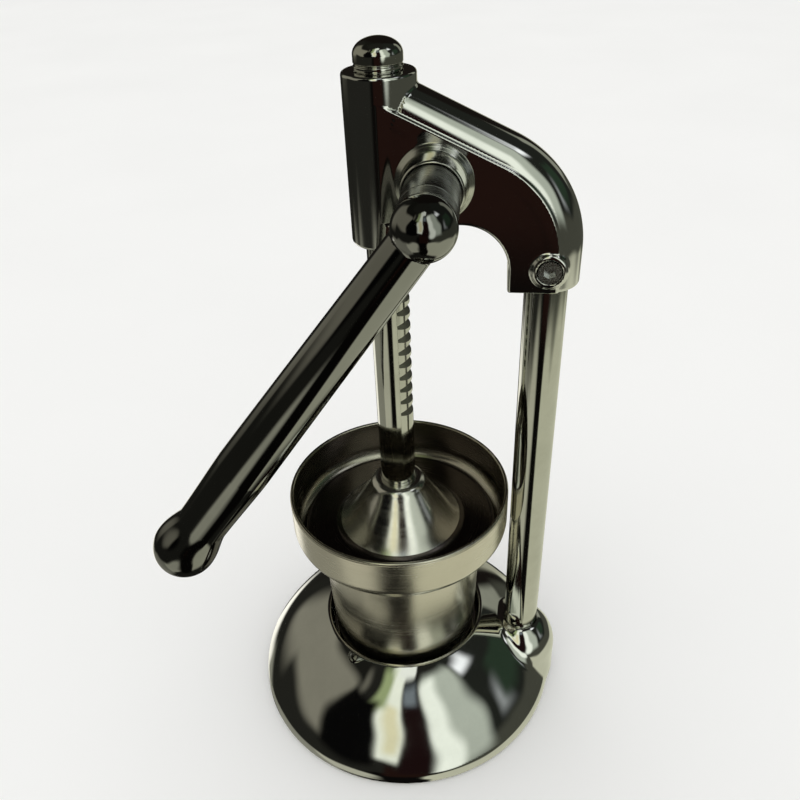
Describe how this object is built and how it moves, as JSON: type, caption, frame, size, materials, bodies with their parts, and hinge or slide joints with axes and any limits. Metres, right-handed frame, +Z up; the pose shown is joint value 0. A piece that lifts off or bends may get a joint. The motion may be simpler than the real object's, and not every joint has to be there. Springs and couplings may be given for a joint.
{
  "type": "lever citrus press",
  "caption": "Table-top lever press for citrus: rack-and-pinion head on a round column, pressing bell, strainer bowl with reamer, juice cup and domed base.",
  "frame": {"origin": "centre of the pad's underside, on the table, straight under the pressing rod", "axes": "+Z up along the rod, +Y from the rod towards the column, +X towards the lever's side"},
  "size_m": [0.18, 0.2065, 0.3693],
  "materials": {
    "chrome_casting": "polished",
    "chrome_tube": "polished",
    "chrome_rod": "polished, teeth as milled",
    "satin_stainless": "satin, spun",
    "satin_sleeve": "satin",
    "machined_steel": "machined",
    "zinc_fastener": "zinc plated",
    "rubber": "matte"
  },
  "bodies": {
    "frame": {"base_shell": "chrome_casting", "base_pad": "rubber", "column_tube": "chrome_tube", "column_plug": "machined_steel", "column_bolt": "zinc_fastener", "column_washer": "zinc_fastener", "column_lock_washer": "zinc_fastener", "head_casting": "chrome_casting", "clamp_screw": "zinc_fastener", "near_bush": "chrome_casting", "far_bush": "chrome_casting"},
    "lever": {"lever_handle": "chrome_casting", "hub_spacer": "satin_sleeve", "hub_grub_screw": "zinc_fastener", "lever_shaft": "machined_steel", "pinion_gear": "machined_steel", "gear_key": "machined_steel", "shaft_washer": "zinc_fastener", "shaft_clip": "zinc_fastener"},
    "rod": {"rack_rod": "chrome_rod", "rod_cap": "chrome_rod", "rod_collar": "chrome_rod", "presser_bell": "satin_stainless", "presser_washer": "zinc_fastener", "presser_screw": "zinc_fastener"},
    "cup": {"juice_cup": "satin_stainless"},
    "strainer": {"strainer_bowl": "satin_stainless"}
  },
  "joints": [
    {"name": "lever_turn", "type": "hinge", "parent": "frame", "child": "lever", "pos_m": [0, 0.02265, 0.317], "axis": [-1, 0, 0], "range_deg": [0, 230]},
    {"name": "rod_slide", "type": "slide", "parent": "frame", "child": "rod", "axis": [0, 0, 1], "range_m": [0, 0.0633]},
    {"name": "cup_turn", "type": "hinge", "parent": "frame", "child": "cup", "pos_m": [0, 0, 0.0368], "axis": [0, 0, 1], "continuous": true},
    {"name": "strainer_turn", "type": "hinge", "parent": "cup", "child": "strainer", "pos_m": [0, 0, 0.1097], "axis": [0, 0, 1], "continuous": true}
  ],
  "couplings": [
    {"joint": "rod_slide", "follows": "lever_turn", "m_per_rad": 0.01575}
  ]
}
